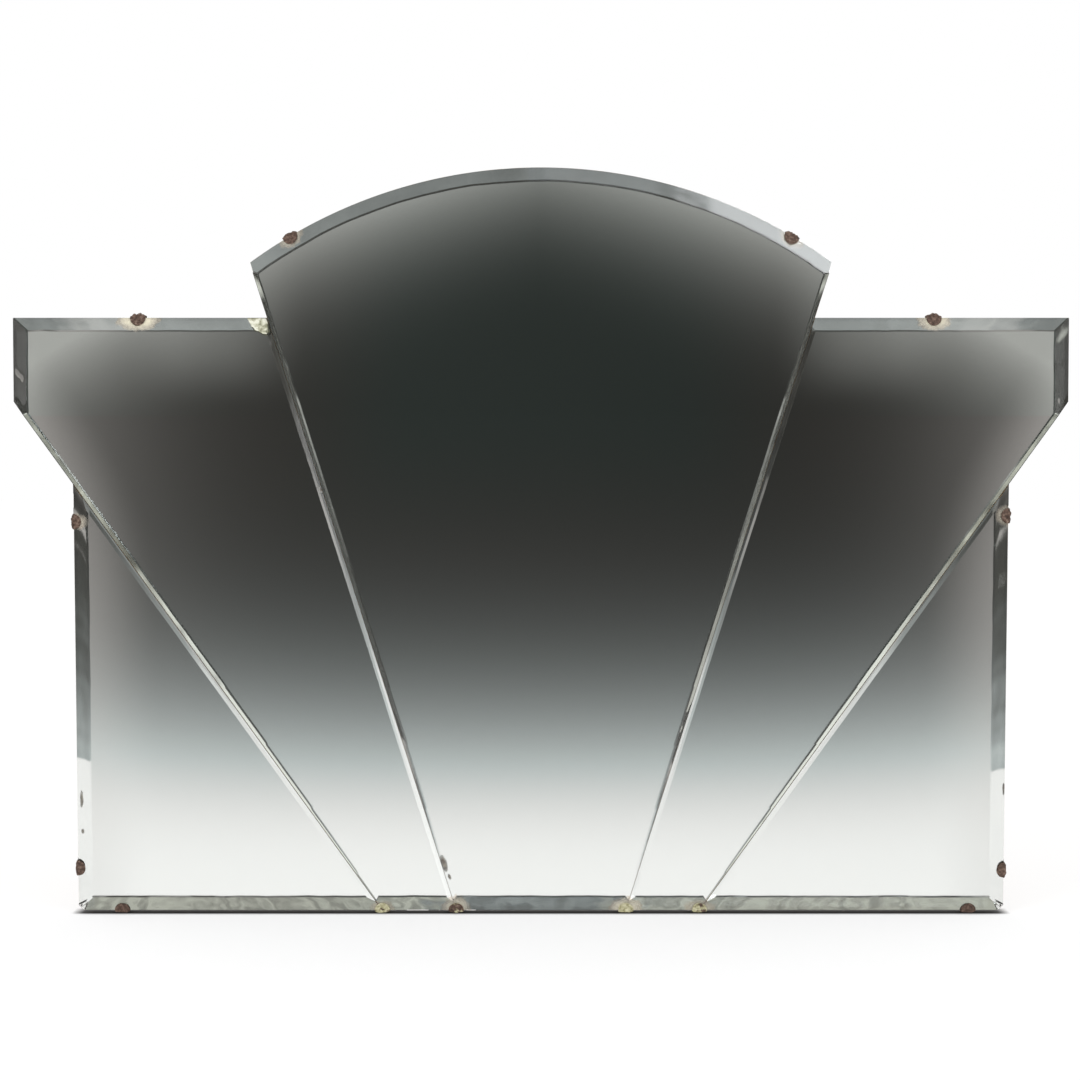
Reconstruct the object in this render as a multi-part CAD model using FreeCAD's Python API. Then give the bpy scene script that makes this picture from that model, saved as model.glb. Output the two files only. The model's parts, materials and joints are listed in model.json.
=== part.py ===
import FreeCAD, Part

import math
import os

os.makedirs("parts", exist_ok=True)
Vector = FreeCAD.Vector

# A frameless mirror: a fan of five bevelled panes on a plywood backboard, held by metal edge clips.
# Seen from the front, +X is to the right and +Z is up. The wall is the plane y = 0, and the glass
# faces -Y. The lowest clip faces lie on z = 0. All sizes are millimetres and degrees.
# Places in the fan are pairs (x, z), with z counted from the bottom edge of the glass.

# Outline of the fan, from the centre line outwards and from the bottom edge upwards
centre_foot_half_width = 61.8
wing_foot_width = 53.7
lower_pane_foot_width = 221.5
lower_pane_lean = 1.6
wing_overhang = 42.4
wing_corner_height = 370.5
wing_side_length = 60.5
shoulder_half_width = 210.0
shoulder_rise = 39.5
arch_rise = 68.5
foot_corner_cut = 4.0

# Glass and its bevels
glass_thickness = 6.0
outer_bevel_width = 10.0
joint_bevel_width = 3.8
bevelled_edge_thickness = 2.8
joint_gap = 0.5

# Silvering with its backing paint
silver_thickness = 0.3
silver_inset = 0.3
silver_gap = 0.05

# Backboard
board_thickness = 6.0
board_inset = 1.0

# Edge clips, bent from strip
clip_width = 11.8
clip_thickness = 1.2
clip_edge_gap = 1.0
clip_tab_reach = 6.0
clip_tab_clearance = 0.1
clip_tail_reach = 14.0
clip_screw_reach = 8.0
clip_bend_radius = 1.0

# Places of the clips: along the arch from its top to a shoulder, in from the wing's corner, down
# from the wing or up from the foot on the lower sides, and in from the lower corners
arch_clip_share = 0.845
left_wing_clip_inset = 90.2
right_wing_clip_inset = 97.5
left_upper_side_clip_drop = 27.7
right_upper_side_clip_drop = 23.4
left_lower_side_clip_height = 31.1
right_lower_side_clip_height = 29.6
left_bottom_clip_inset = 31.9
right_bottom_clip_inset = 25.7

# Slotted round-head screws
screw_head_radius = 3.0
screw_head_height = 1.8
screw_rim_height = 0.4
screw_shank_radius = 1.5
screw_depth_in_board = 4.5
screw_slot_width = 0.8
screw_slot_depth = 0.7
pilot_clearance = 0.05
screw_hole_clearance = 0.3

# Strap hangers with a rolled eye, and the rings that swing in them
hanger_inset = 166.0
hanger_eye_drop = 31.0
strap_width = 12.0
strap_thickness = 1.0
strap_length = 40.0
strap_screw_distances = (24.0, 34.0)
ring_wire_radius = 1.25
ring_running_clearance = 0.08
ring_half_width = 9.5
ring_corner_radius = 3.0
ring_leg_length = 8.0
ring_rest_tilt = 2.0

# Rubber wall buffers
buffer_height = 9.0
buffer_foot_radius = 10.0
buffer_face_radius = 8.5
buffer_seat_height = 4.0
buffer_head_clearance = 1.2
upper_buffer_inset = 41.0
upper_buffer_drop = 31.0
lower_buffer_inset = 37.0
lower_buffer_height = 35.0

# One overrun serves all cuts
overrun = 20.0

# Depths, from the wall to the front of the glass
wall_y = 0
board_back_y = wall_y - buffer_height
board_front_y = board_back_y - board_thickness
silver_front_y = board_front_y - silver_thickness
glass_back_y = silver_front_y - silver_gap
glass_front_y = glass_back_y - glass_thickness
glass_edge_y = glass_back_y - bevelled_edge_thickness
bevel_slope = (glass_thickness - bevelled_edge_thickness) / outer_bevel_width

# The clips stand this far outside the glass, and carry its bottom edge
clip_stand_out = clip_edge_gap + clip_thickness
glass_bottom_z = clip_stand_out

# Widths and heights of the fan's corners
wing_foot_half_width = centre_foot_half_width + wing_foot_width
side_foot_half_width = wing_foot_half_width + lower_pane_foot_width
side_top_half_width = side_foot_half_width + lower_pane_lean
fan_half_width = side_top_half_width + wing_overhang
wing_top_height = wing_corner_height + wing_side_length
shoulder_height = wing_top_height + shoulder_rise
fan_height = shoulder_height + arch_rise

# The arch is one arc through both shoulders and the top of the fan
arch_radius = (shoulder_half_width ** 2 + arch_rise ** 2) / (arch_rise + arch_rise)
arch_centre = (0, fan_height - arch_radius)


def in_space(place, y):
    return Vector(place[0], y, place[1] + glass_bottom_z)


def along(start, end, share):
    return tuple(a + (b - a) * share for a, b in zip(start, end))


def on_line_at_height(start, end, height):
    return along(start, end, (height - start[1]) / (end[1] - start[1]))


def on_line_at_distance(start, end, distance):
    return along(start, end, (distance - start[0]) / (end[0] - start[0]))


def mirrored(places):
    return [(-x, z) for x, z in reversed(places)]


# Corners of the fan's right half
centre_foot = (centre_foot_half_width, 0)
shoulder = (shoulder_half_width, shoulder_height)
wing_inner_top = on_line_at_height(centre_foot, shoulder, wing_top_height)
wing_outer_top = (fan_half_width, wing_top_height)
wing_outer_corner = (fan_half_width, wing_corner_height)
wing_foot = (wing_foot_half_width, 0)
side_top = on_line_at_distance(wing_foot, wing_outer_corner, side_top_half_width)
side_foot = (side_foot_half_width, 0)
side_cut_low = (side_foot_half_width - foot_corner_cut, 0)
side_cut_high = on_line_at_height(side_foot, side_top, foot_corner_cut)


# Outlines run anticlockwise as seen from the front. Each corner is followed by the kind of the
# edge that starts there: outer, joint or arch.

def outline(corners, kinds):
    return list(zip(corners, kinds))


def mirrored_outline(shape):
    corners = mirrored([corner for corner, kind in shape])
    kinds = [kind for corner, kind in shape]
    turned = list(reversed(kinds[:-1])) + kinds[-1:]
    return outline(corners, turned)


centre_outline = outline(
    mirrored([centre_foot]) + [centre_foot, shoulder] + mirrored([shoulder]),
    ["outer", "joint", "arch", "joint"],
)
right_wing_outline = outline(
    [centre_foot, wing_foot, wing_outer_corner, wing_outer_top, wing_inner_top],
    ["outer", "joint", "outer", "outer", "joint"],
)
right_lower_outline = outline(
    [wing_foot, side_cut_low, side_cut_high, side_top],
    ["outer", "outer", "outer", "joint"],
)
fan_right_corners = [
    side_cut_low, side_cut_high, side_top, wing_outer_corner, wing_outer_top, wing_inner_top, shoulder,
]
fan_kinds = ["outer"] * len(fan_right_corners)
fan_kinds[-1] = "arch"
fan_outline = outline(
    fan_right_corners + mirrored(fan_right_corners),
    fan_kinds + ["outer"] * len(fan_right_corners),
)


def inward(start, end):
    length = math.dist(start, end)
    return ((start[1] - end[1]) / length, (end[0] - start[0]) / length)


def moved_inward(start, end, inset):
    normal = inward(start, end)
    return [(x + normal[0] * inset, z + normal[1] * inset) for x, z in (start, end)]


def lines_meet(first, second):
    (ax, az), (bx, bz) = first
    (cx, cz), (dx, dz) = second
    across = (bx - ax) * (dz - cz) - (bz - az) * (dx - cx)
    share = ((cx - ax) * (dz - cz) - (cz - az) * (dx - cx)) / across
    return along(first[0], first[1], share)


def line_meets_arch(line, radius, near):
    start, end = line
    length = math.dist(start, end)
    step = ((end[0] - start[0]) / length, (end[1] - start[1]) / length)
    offset = (start[0] - arch_centre[0], start[1] - arch_centre[1])
    middle = -(offset[0] * step[0] + offset[1] * step[1])
    nearest = (offset[0] + step[0] * middle, offset[1] + step[1] * middle)
    half_chord = math.sqrt(radius ** 2 - nearest[0] ** 2 - nearest[1] ** 2)
    hits = [
        (start[0] + step[0] * reach, start[1] + step[1] * reach)
        for reach in (middle - half_chord, middle + half_chord)
    ]
    return min(hits, key=lambda hit: math.dist(hit, near))


def inset_corners(shape, insets):
    corners = []
    for number, (corner, kind) in enumerate(shape):
        before, kind_before = shape[number - 1]
        after = shape[(number + 1) % len(shape)][0]
        line_in = moved_inward(before, corner, insets[kind_before])
        line_out = moved_inward(corner, after, insets[kind])
        if kind_before == "arch":
            corners.append(line_meets_arch(line_out, arch_radius - insets["arch"], corner))
        elif kind == "arch":
            corners.append(line_meets_arch(line_in, arch_radius - insets["arch"], corner))
        else:
            corners.append(lines_meet(line_in, line_out))
    return corners


def sheet(shape, insets, back_y, front_y):
    corners = inset_corners(shape, insets)
    top = (arch_centre[0], fan_height - insets["arch"])
    edges = []
    for number, (corner, kind) in enumerate(shape):
        start = in_space(corners[number], back_y)
        end = in_space(corners[(number + 1) % len(corners)], back_y)
        if kind == "arch":
            edges.append(Part.Arc(start, in_space(top, back_y), end).toShape())
        else:
            edges.append(Part.LineSegment(start, end).toShape())
    face = Part.Face(Part.Wire(edges))
    return face.extrude(Vector(0, front_y - back_y, 0))


def bevel_section(width, seat):
    # The wedge that the wheel grinds off, from the inner bevel line out past the edge. seat gives
    # the point at a distance inside the edge and at a depth.
    run_out_y = glass_front_y + bevel_slope * (width + overrun)
    points = [
        seat(width, glass_front_y),
        seat(-overrun, run_out_y),
        seat(-overrun, glass_front_y - overrun),
        seat(width, glass_front_y - overrun),
    ]
    return Part.Face(Part.makePolygon(points + points[:1]))


def straight_bevel(start, end, width):
    normal = inward(start, end)
    length = math.dist(start, end)
    step = ((end[0] - start[0]) / length, (end[1] - start[1]) / length)
    first = (start[0] - step[0] * overrun, start[1] - step[1] * overrun)

    def seat(distance, y):
        return in_space((first[0] + normal[0] * distance, first[1] + normal[1] * distance), y)

    run = length + overrun + overrun
    return bevel_section(width, seat).extrude(Vector(step[0] * run, 0, step[1] * run))


def arch_bevel():
    # Half a turn over the top of the arch, so that the wheel never reaches the pane's foot
    def seat(distance, y):
        return in_space((arch_centre[0] + arch_radius - distance, arch_centre[1]), y)

    section = bevel_section(outer_bevel_width, seat)
    return section.revolve(in_space(arch_centre, 0), Vector(0, -1, 0), 180)


def glass_pane(shape):
    insets = {"outer": 0, "joint": joint_gap / 2, "arch": 0}
    widths = {"outer": outer_bevel_width, "joint": joint_bevel_width}
    pane = sheet(shape, insets, glass_back_y, glass_front_y)
    corners = inset_corners(shape, insets)
    for number, (corner, kind) in enumerate(shape):
        if kind == "arch":
            pane = pane.cut(arch_bevel())
        else:
            end = corners[(number + 1) % len(corners)]
            pane = pane.cut(straight_bevel(corners[number], end, widths[kind]))
    return pane


def silvering(shape):
    insets = {"outer": silver_inset, "joint": joint_gap / 2 + silver_inset, "arch": silver_inset}
    return sheet(shape, insets, board_front_y, silver_front_y)


def drilled(radius, place, back_y, front_y):
    return Part.makeCylinder(radius, back_y - front_y, in_space(place, front_y), Vector(0, 1, 0))


# Seats of the clips: a point on the edge of the glass and the direction that leads inwards

def bottom_seat(distance):
    return (distance, 0), inward(wing_foot, side_foot)


def wing_top_seat(distance):
    return (distance, wing_top_height), inward(wing_outer_top, wing_inner_top)


def side_seat(side, height):
    point = on_line_at_height(side_foot, side_top, height)
    normal = inward(side_foot, side_top)
    return (side * point[0], point[1]), (side * normal[0], normal[1])


def arch_seat(side):
    angle = side * arch_clip_share * math.asin(shoulder_half_width / arch_radius)
    outwards = (math.sin(angle), math.cos(angle))
    point = (arch_centre[0] + arch_radius * outwards[0], arch_centre[1] + arch_radius * outwards[1])
    return point, (-outwards[0], -outwards[1])


clip_seats = {
    "clip_arch_left": arch_seat(-1),
    "clip_arch_right": arch_seat(1),
    "clip_wing_left": wing_top_seat(left_wing_clip_inset - fan_half_width),
    "clip_wing_right": wing_top_seat(fan_half_width - right_wing_clip_inset),
    "clip_side_upper_left": side_seat(-1, side_top[1] - left_upper_side_clip_drop),
    "clip_side_upper_right": side_seat(1, side_top[1] - right_upper_side_clip_drop),
    "clip_side_lower_left": side_seat(-1, left_lower_side_clip_height),
    "clip_side_lower_right": side_seat(1, right_lower_side_clip_height),
    "clip_bottom_left": bottom_seat(left_bottom_clip_inset - side_foot_half_width),
    "clip_bottom_right": bottom_seat(side_foot_half_width - right_bottom_clip_inset),
    "clip_outer_joint_left": bottom_seat(-wing_foot_half_width),
    "clip_outer_joint_right": bottom_seat(wing_foot_half_width),
    "clip_inner_joint_left": bottom_seat(-centre_foot_half_width),
    "clip_inner_joint_right": bottom_seat(centre_foot_half_width),
}


def placed_on_edge(solid, seat):
    point, normal = seat
    angle = math.degrees(math.atan2(normal[0], normal[1]))
    turned = solid.copy()
    turned.Placement = FreeCAD.Placement(in_space(point, 0), FreeCAD.Rotation(Vector(0, 1, 0), angle))
    return turned


def clip_strip_plan(reach, back_y, front_y):
    # A strip with a half-round end, from outside the edge inwards
    half = clip_width / 2
    round_centre = reach - half
    low = -clip_stand_out
    corners = [Vector(half, front_y, low), Vector(half, front_y, round_centre)]
    mirror_corners = [Vector(-half, front_y, round_centre), Vector(-half, front_y, low)]
    edges = [
        Part.LineSegment(corners[0], corners[1]).toShape(),
        Part.Arc(corners[1], Vector(0, front_y, reach), mirror_corners[0]).toShape(),
        Part.LineSegment(mirror_corners[0], mirror_corners[1]).toShape(),
        Part.LineSegment(mirror_corners[1], corners[0]).toShape(),
    ]
    return Part.Face(Part.Wire(edges)).extrude(Vector(0, back_y - front_y, 0))


def tab_underside_y(distance):
    return glass_edge_y - bevel_slope * distance - clip_tab_clearance


def edge_clip():
    # Section of the bent strip: the tab lies along the bevel, the leg passes the edge of the glass
    # and of the board, and the tail lies on the back of the board.
    tab_rise = clip_thickness * math.sqrt(1 + bevel_slope ** 2)
    tail_back_y = board_back_y + clip_thickness
    outside = -clip_stand_out
    section = [
        (-clip_edge_gap, tab_underside_y(-clip_edge_gap)),
        (clip_tab_reach, tab_underside_y(clip_tab_reach)),
        (clip_tab_reach, tab_underside_y(clip_tab_reach) - tab_rise),
        (outside, tab_underside_y(outside) - tab_rise),
        (outside, tail_back_y),
        (clip_tail_reach, tail_back_y),
        (clip_tail_reach, board_back_y),
        (-clip_edge_gap, board_back_y),
    ]
    points = [Vector(-clip_width / 2, y, distance) for distance, y in section]
    strip = Part.Face(Part.makePolygon(points + points[:1])).extrude(Vector(clip_width, 0, 0))
    bends = [
        edge for edge in strip.Edges
        if all(abs(vertex.Point.z - outside) < clip_tab_clearance for vertex in edge.Vertexes)
        and abs(edge.Vertexes[0].Point.y - edge.Vertexes[1].Point.y) < clip_tab_clearance
    ]
    strip = strip.makeFillet(clip_bend_radius, bends)
    tab_plan = clip_strip_plan(clip_tab_reach, glass_edge_y, glass_front_y - overrun)
    tail_plan = clip_strip_plan(clip_tail_reach, board_back_y + overrun, glass_edge_y)
    clip = strip.common(tab_plan.fuse(tail_plan).removeSplitter())
    hole = Part.makeCylinder(
        screw_shank_radius + screw_hole_clearance, clip_thickness + overrun,
        Vector(0, board_back_y - overrun / 2, clip_screw_reach), Vector(0, 1, 0),
    )
    return clip.cut(hole)


def screw(grip):
    # The seat of the head is at y = 0, the head stands towards +Y and the shank points to -Y
    half_head = screw_head_radius * math.cos(math.radians(45))
    dome_height = screw_head_height - screw_rim_height
    half_dome = screw_rim_height + dome_height * math.sin(math.radians(45))
    rim = Vector(screw_head_radius, screw_rim_height, 0)
    crown = Vector(0, screw_head_height, 0)
    length = grip + screw_depth_in_board
    tip = Vector(0, -length, 0)
    shoulder_in = Vector(screw_shank_radius, 0, 0)
    cone_start = Vector(screw_shank_radius, screw_shank_radius - length, 0)
    edges = [
        Part.LineSegment(tip, cone_start).toShape(),
        Part.LineSegment(cone_start, shoulder_in).toShape(),
        Part.LineSegment(shoulder_in, Vector(screw_head_radius, 0, 0)).toShape(),
        Part.LineSegment(Vector(screw_head_radius, 0, 0), rim).toShape(),
        Part.Arc(rim, Vector(half_head, half_dome, 0), crown).toShape(),
        Part.LineSegment(crown, tip).toShape(),
    ]
    body = Part.Face(Part.Wire(edges)).revolve(Vector(0, 0, 0), Vector(0, 1, 0), 360)
    slot = Part.makeBox(
        screw_slot_width, screw_slot_depth + overrun, screw_head_radius + screw_head_radius,
        Vector(-screw_slot_width / 2, screw_head_height - screw_slot_depth, -screw_head_radius),
    )
    return body.cut(slot)


def screw_at(place, seat_y, turn):
    solid = screw(seat_y - board_back_y)
    solid.Placement = FreeCAD.Placement(in_space(place, seat_y), FreeCAD.Rotation(Vector(0, 1, 0), turn))
    return solid


def clip_screw_place(seat):
    point, normal = seat
    return (point[0] + normal[0] * clip_screw_reach, point[1] + normal[1] * clip_screw_reach)


# No two slots stop at the same angle
slot_turn_step = 37.0

hanger_distance = fan_half_width - hanger_inset
hanger_eye_height = wing_top_height - hanger_eye_drop
upper_buffer_distance = fan_half_width - upper_buffer_inset
upper_buffer_height = wing_top_height - upper_buffer_drop
lower_buffer_distance = side_foot_half_width - lower_buffer_inset

clip_screw_places = [clip_screw_place(seat) for seat in clip_seats.values()]
hanger_screw_places = [
    (side * hanger_distance, hanger_eye_height - distance)
    for side in (-1, 1) for distance in strap_screw_distances
]
buffer_places = {
    "buffer_upper_left": (-upper_buffer_distance, upper_buffer_height),
    "buffer_upper_right": (upper_buffer_distance, upper_buffer_height),
    "buffer_lower_left": (-lower_buffer_distance, lower_buffer_height),
    "buffer_lower_right": (lower_buffer_distance, lower_buffer_height),
}


def screw_group(places, seat_y):
    screws = [screw_at(place, seat_y, slot_turn_step * number) for number, place in enumerate(places)]
    return Part.makeCompound(screws)


def backboard():
    insets = {"outer": board_inset, "arch": board_inset}
    board = sheet(fan_outline, insets, board_back_y, board_front_y)
    pilot_end_y = board_back_y - screw_depth_in_board - pilot_clearance
    for place in clip_screw_places + hanger_screw_places + list(buffer_places.values()):
        pilot = drilled(screw_shank_radius + pilot_clearance, place, board_back_y, pilot_end_y)
        board = board.cut(pilot)
    return board


# The eye of a hanger is rolled from its own strap, so its axis lies one strap and one bore radius
# off the board
eye_bore_radius = ring_wire_radius + ring_running_clearance
eye_outer_radius = eye_bore_radius + strap_thickness
eye_axis_y = board_back_y + eye_outer_radius


def hanger_strap(side):
    left = side * hanger_distance - strap_width / 2
    axis = in_space((left, hanger_eye_height), eye_axis_y)
    roll = Part.makeCylinder(eye_outer_radius, strap_width, axis, Vector(1, 0, 0))
    bore = Part.makeCylinder(eye_bore_radius, strap_width + overrun + overrun,
                             axis - Vector(overrun, 0, 0), Vector(1, 0, 0))
    low = in_space((left, hanger_eye_height - strap_length), board_back_y)
    leaf = Part.makeBox(strap_width, strap_thickness, strap_length, low)
    strap = roll.fuse(leaf).cut(bore)
    for distance in strap_screw_distances:
        place = (side * hanger_distance, hanger_eye_height - distance)
        hole = drilled(screw_shank_radius + screw_hole_clearance, place,
                       board_back_y + overrun, board_back_y - overrun)
        strap = strap.cut(hole)
    return strap.removeSplitter()


def hanger_ring(side):
    # A D of round wire: the straight bar lies in the eye and the bow hangs below it
    bar_half = ring_half_width - ring_corner_radius
    leg_top = -ring_corner_radius
    leg_low = leg_top - ring_leg_length
    bend_share = math.cos(math.radians(45))
    corner_inset = ring_corner_radius - ring_corner_radius * bend_share

    def corner_arc(sign):
        return Part.Arc(
            Vector(sign * bar_half, 0, 0),
            Vector(sign * (ring_half_width - corner_inset), 0, -corner_inset),
            Vector(sign * ring_half_width, 0, leg_top),
        ).toShape()

    def leg(sign):
        high = Vector(sign * ring_half_width, 0, leg_top)
        return Part.LineSegment(high, Vector(sign * ring_half_width, 0, leg_low)).toShape()

    bow = Part.Arc(
        Vector(ring_half_width, 0, leg_low),
        Vector(0, 0, leg_low - ring_half_width),
        Vector(-ring_half_width, 0, leg_low),
    ).toShape()
    bar = Part.LineSegment(Vector(-bar_half, 0, 0), Vector(bar_half, 0, 0)).toShape()
    path = Part.Wire(Part.__sortEdges__([bar, corner_arc(1), leg(1), bow, leg(-1), corner_arc(-1)]))
    section = Part.Wire([Part.makeCircle(ring_wire_radius, Vector(0, 0, 0), Vector(1, 0, 0))])
    ring = path.makePipeShell([section], True, False)
    place = in_space((side * hanger_distance, hanger_eye_height), eye_axis_y)
    ring.Placement = FreeCAD.Placement(place, FreeCAD.Rotation(Vector(1, 0, 0), ring_rest_tilt))
    return ring


def wall_buffer(place):
    base = in_space(place, board_back_y)
    buffer = Part.makeCone(buffer_foot_radius, buffer_face_radius, buffer_height, base, Vector(0, 1, 0))
    seat_y = board_back_y + buffer_seat_height
    recess = drilled(screw_head_radius + buffer_head_clearance, place, wall_y + overrun, seat_y)
    hole = drilled(screw_shank_radius + screw_hole_clearance, place, seat_y + overrun, board_back_y - overrun)
    return buffer.cut(recess).cut(hole)


def save(name, shape):
    shape.exportStep("parts/" + name + ".step")
    print(name, len(shape.Solids), "solid(s)", "valid" if shape.isValid() else "NOT VALID", round(shape.Volume, 1))


outlines = {
    "centre": centre_outline,
    "right_wing": right_wing_outline,
    "left_wing": mirrored_outline(right_wing_outline),
    "right_lower": right_lower_outline,
    "left_lower": mirrored_outline(right_lower_outline),
}
for name, shape in outlines.items():
    save(name + "_pane", glass_pane(shape))
    save(name + "_silvering", silvering(shape))
save("backboard", backboard())
for name, seat in clip_seats.items():
    save(name, placed_on_edge(edge_clip(), seat))
save("clip_screws", screw_group(clip_screw_places, board_back_y + clip_thickness))
for name, side in (("left", -1), ("right", 1)):
    save("hanger_strap_" + name, hanger_strap(side))
    save("hanger_ring_" + name, hanger_ring(side))
save("hanger_screws", screw_group(hanger_screw_places, board_back_y + strap_thickness))
for name, place in buffer_places.items():
    save(name, wall_buffer(place))
save("buffer_screws", screw_group(list(buffer_places.values()), board_back_y + buffer_seat_height))
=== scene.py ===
"""An art deco fan mirror: five bevelled, silvered panes on a plywood board, held by rusted clips.

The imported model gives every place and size. The panes and the clips are rebuilt here from its
outlines, with hand-ground bevels and rust, and the other nodes keep their mesh and get their finish.
Lengths are metres. +X is to the right as seen from the front, the glass faces -Y and +Z is up.
"""

import json
import math

import bmesh
import bpy
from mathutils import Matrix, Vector, noise


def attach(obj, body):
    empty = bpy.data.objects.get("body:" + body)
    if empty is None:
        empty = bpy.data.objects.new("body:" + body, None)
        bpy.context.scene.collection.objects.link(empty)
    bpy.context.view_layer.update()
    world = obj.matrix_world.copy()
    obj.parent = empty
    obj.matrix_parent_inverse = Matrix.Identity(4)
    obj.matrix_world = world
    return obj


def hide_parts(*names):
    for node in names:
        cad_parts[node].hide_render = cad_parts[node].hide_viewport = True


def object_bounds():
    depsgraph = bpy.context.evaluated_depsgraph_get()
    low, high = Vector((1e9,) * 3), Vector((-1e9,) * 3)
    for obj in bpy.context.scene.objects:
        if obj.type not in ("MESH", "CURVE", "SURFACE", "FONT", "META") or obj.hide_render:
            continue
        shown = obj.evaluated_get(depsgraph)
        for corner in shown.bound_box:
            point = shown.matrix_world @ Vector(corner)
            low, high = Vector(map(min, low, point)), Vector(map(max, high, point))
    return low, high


MM = 0.001
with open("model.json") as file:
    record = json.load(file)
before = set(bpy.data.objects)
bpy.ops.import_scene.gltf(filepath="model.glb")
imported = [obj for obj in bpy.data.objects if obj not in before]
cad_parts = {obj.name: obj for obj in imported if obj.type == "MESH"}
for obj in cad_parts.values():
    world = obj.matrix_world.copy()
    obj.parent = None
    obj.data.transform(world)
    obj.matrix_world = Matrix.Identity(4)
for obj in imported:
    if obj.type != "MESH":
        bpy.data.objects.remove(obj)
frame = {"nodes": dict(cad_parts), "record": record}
nodes = frame["nodes"]
cad_low, cad_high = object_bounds()

AHEAD, BEHIND = Vector((0, -1, 0)), Vector((0, 1, 0))
PANES = ["centre_pane", "right_wing_pane", "left_wing_pane", "right_lower_pane", "left_lower_pane"]
CLIPS = sorted(name for name in nodes if name.startswith("clip_") and name != "clip_screws")
# How much cream paint is left on a clip. The others have rusted bare.
PAINT_LEFT = {
    "clip_outer_joint_left": 0.62, "clip_inner_joint_left": 0.4,
    "clip_inner_joint_right": 0.75, "clip_outer_joint_right": 0.56,
}
# How far behind its foremost place a clip's tab and bend still belong to its front.
TAB_DEPTH = 3 * MM
# The film of dried polish round a clip: its reach in mm along the edge and across it, and its strength.
FILMS = {
    "clip_arch_left": (10.5, 8.0, 0.5), "clip_arch_right": (10.5, 8.0, 0.4),
    "clip_wing_left": (17.0, 8.0, 0.85), "clip_wing_right": (13.0, 8.0, 0.7),
    "clip_side_upper_left": (6.5, 10.0, 0.45), "clip_side_upper_right": (8.0, 9.0, 0.4),
    "clip_inner_joint_left": (11.0, 9.0, 0.6), "clip_inner_joint_right": (13.0, 8.0, 0.7),
    "clip_outer_joint_right": (12.0, 7.0, 0.3), "clip_outer_joint_left": (10.0, 6.0, 0.25),
}
# Rusty flaws of the silver along a joint and the outer edges, in mm and degrees: place across and up,
# reach along and across, and how far the flaw leans from upright.
RUSTY_FLAWS = [
    (-70.4, 36.6, 7.0, 2.1, 18.0), (-66.6, 26.5, 2.4, 1.3, 18.0), (-159.8, 308.8, 2.4, 1.5, 18.0),
    (-333.9, 83.2, 7.2, 1.4, 0.0), (-333.3, 59.8, 2.0, 1.3, 0.0), (336.4, 91.0, 5.0, 1.0, 0.0),
]


def colour(code):
    """A hex sRGB colour as linear values, opaque."""
    channels = [int(code[place : place + 2], 16) / 255 for place in (0, 2, 4)]
    linear = [c / 12.92 if c <= 0.04045 else ((c + 0.055) / 1.055) ** 2.4 for c in channels]
    return (*linear, 1.0)


def add(tree, kind, inputs=None, stops=(), **settings):
    """Adds a node, makes its settings, sets or links its inputs, and gives a colour ramp its stops."""
    node = tree.nodes.new(kind)
    for name, value in settings.items():
        setattr(node, name, value)
    for name, value in (inputs or {}).items():
        source = value.outputs[0] if isinstance(value, bpy.types.Node) else value
        if isinstance(source, bpy.types.NodeSocket):
            tree.links.new(source, node.inputs[name])
        else:
            node.inputs[name].default_value = source
    for number, (place, code) in enumerate(stops):
        elements = node.color_ramp.elements
        element = elements[number] if number < len(elements) else elements.new(place)
        element.position = place
        element.color = colour(code)
    return node


def new_material(name):
    """An empty material, its tree, and the object coordinates that its pattern follows."""
    material = bpy.data.materials.new(name)
    material.use_nodes = True
    tree = material.node_tree
    tree.nodes.clear()
    return material, tree, add(tree, "ShaderNodeTexCoord").outputs["Object"]


def put_in_scene(name, data):
    """An object for a mesh, a lamp or a camera, in the scene."""
    placed = bpy.data.objects.new(name, data)
    bpy.context.scene.collection.objects.link(placed)
    return placed


def clip_centre(name):
    """The middle of a clip's tab as seen from the front."""
    vertices = nodes[name].data.vertices
    front = min(vertex.co.y for vertex in vertices)
    places = [Vector((vertex.co.x, vertex.co.z)) for vertex in vertices if vertex.co.y < front + TAB_DEPTH]
    low = Vector((min(place.x for place in places), min(place.y for place in places)))
    high = Vector((max(place.x for place in places), max(place.y for place in places)))
    return (low + high) / 2


def outward_of(name):
    """The direction in which a clip wraps over its edge, as seen from the front."""
    centre = clip_centre(name)
    if "arch" in name:
        arc = next(edge for edge in split_edges(back_outline("centre_pane")) if edge["centre"] is not None)
        return (centre - arc["centre"]).normalized()
    if "side" in name:
        return Vector((math.copysign(1, centre.x), 0))
    return Vector((0, 1 if "wing" in name else -1))


def show_as(node, material):
    """Gives a CAD node its finish."""
    mesh = nodes[node].data
    mesh.materials.clear()
    mesh.materials.append(material)


# Materials

GLASS_IOR = 1.52
# The grain that makes the borders of films and flaws ragged, by how much of its reach a spot strays with
# it, and the share of its reach within which a spot is at full strength.
RAGGED_GRAIN, RAGGED_STRAY, SPOT_CORE = 3.5 * MM, 0.3, 0.4
PLY_THICKNESS = 1.2 * MM
# Waves a metre along X, through the board and up: the grain is 250 mm long and 6 mm wide, and the pores
# are 30 mm long and 0.8 mm wide.
WOOD_GRAIN = (1 / (250 * MM), 1 / (250 * MM), 1 / (6 * MM))
WOOD_PORES = (1 / (30 * MM), 1 / (30 * MM), 1 / (0.8 * MM))


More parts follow.
